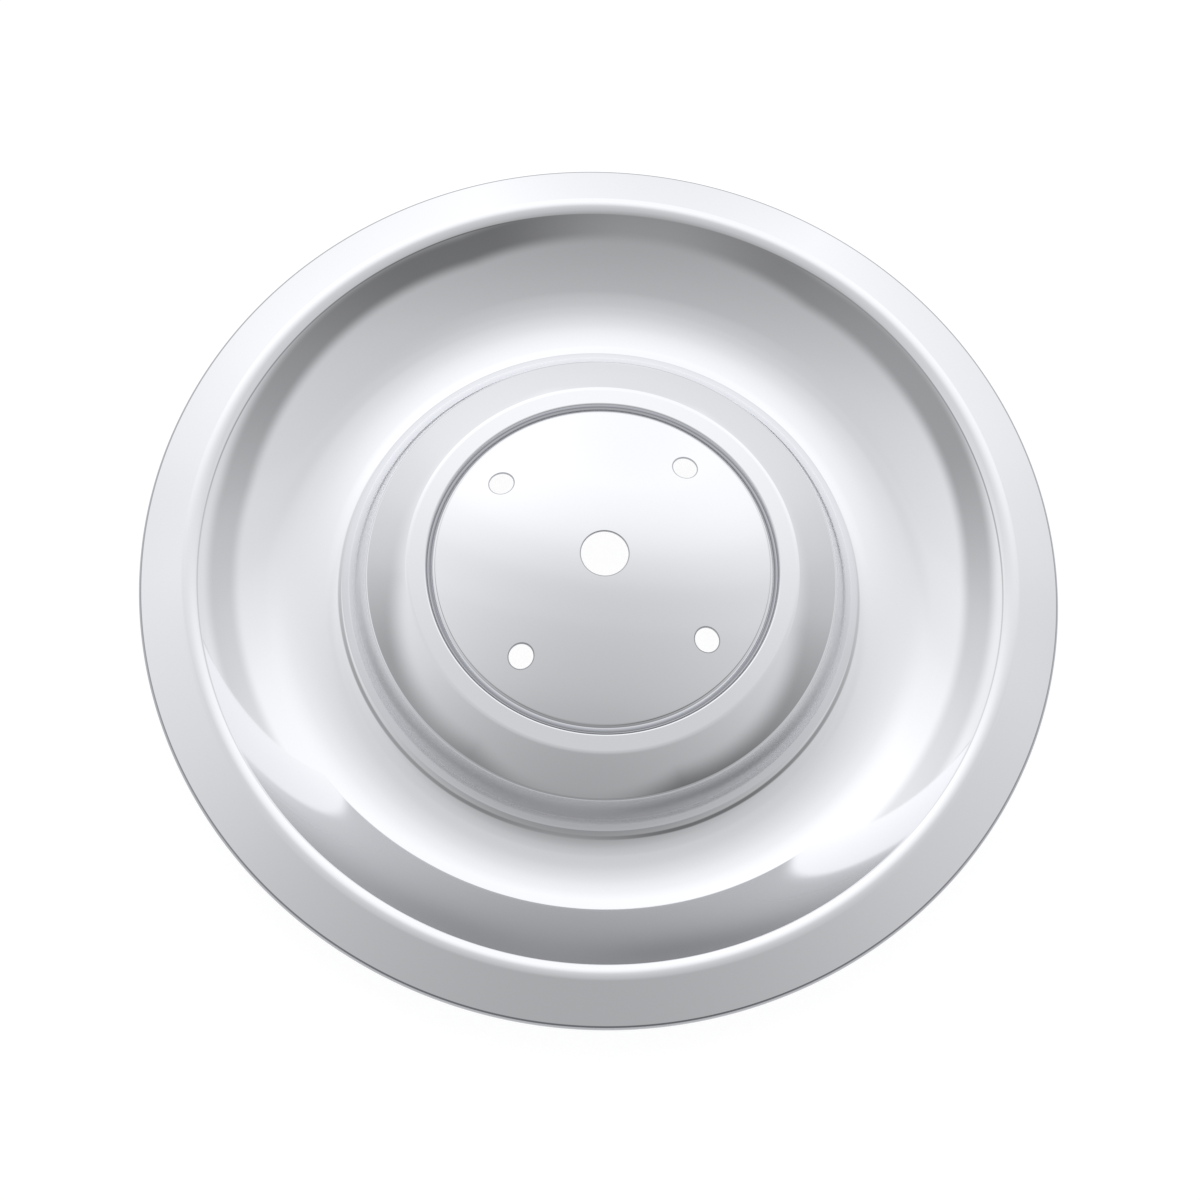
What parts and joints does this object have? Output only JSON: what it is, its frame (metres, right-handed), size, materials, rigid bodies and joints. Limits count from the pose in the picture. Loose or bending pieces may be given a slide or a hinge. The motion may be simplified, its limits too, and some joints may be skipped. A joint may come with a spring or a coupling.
{
  "type": "hubcap",
  "caption": "Round dished wheel cover in polished chrome, with a ridge round a deep dish, a raised boss and a domed plate pierced for fixings.",
  "frame": {"origin": "centre of the disc, on the level it rests on when it lies face up", "axes": "+Z along the axis of the disc towards its polished face; the four fixing holes lie on the diagonals of X and Y"},
  "size_m": [0.4, 0.4, 0.0521],
  "materials": {
    "chrome": "mirror polish"
  },
  "bodies": {
    "root": {"hubcap_disc": "chrome"}
  },
  "joints": []
}
